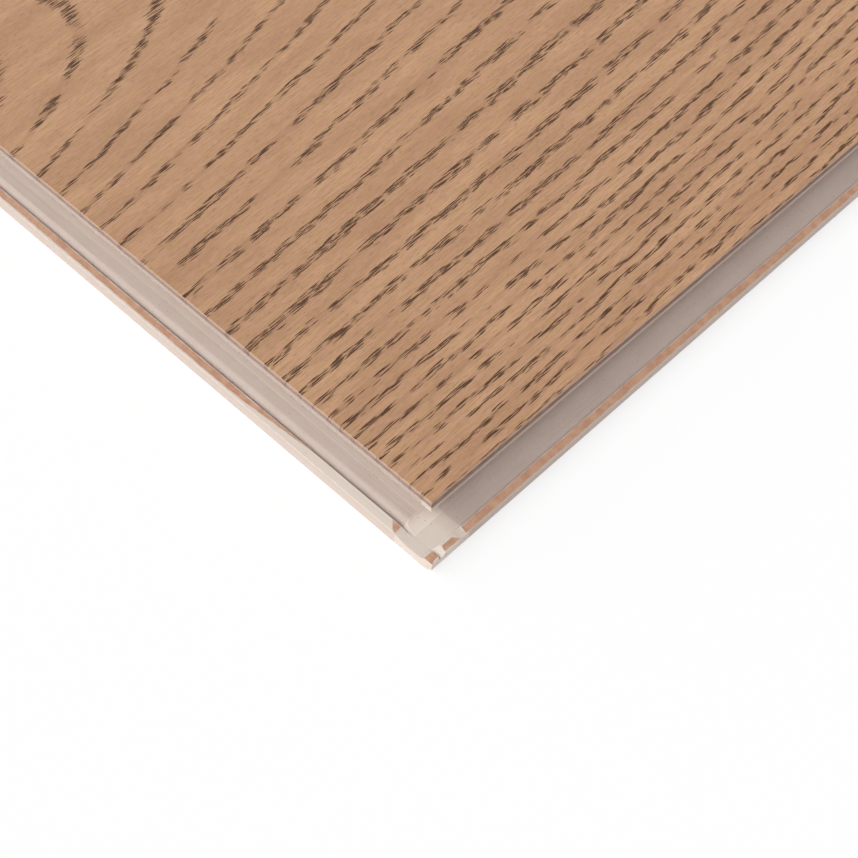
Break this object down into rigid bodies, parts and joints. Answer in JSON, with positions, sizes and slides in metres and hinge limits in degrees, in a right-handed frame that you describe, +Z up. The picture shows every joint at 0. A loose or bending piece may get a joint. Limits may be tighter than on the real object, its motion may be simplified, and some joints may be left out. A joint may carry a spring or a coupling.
{
  "type": "spc vinyl plank",
  "caption": "Rigid-core vinyl floor plank: an oak-look wear layer on a mineral core board, with click grooves and tongues milled round its edges.",
  "frame": {"origin": "underside, below the middle of the face", "axes": "+X along the plank towards its tongue end, +Y across it towards its tongue side, +Z up through the face"},
  "size_m": [1.2271, 0.1872, 0.006],
  "materials": {
    "oak_vinyl": "matte embossed oak print",
    "mineral_core": "raw milled limestone-filled vinyl"
  },
  "bodies": {
    "root": {"wear_layer": "oak_vinyl", "core_board": "mineral_core"}
  },
  "joints": []
}
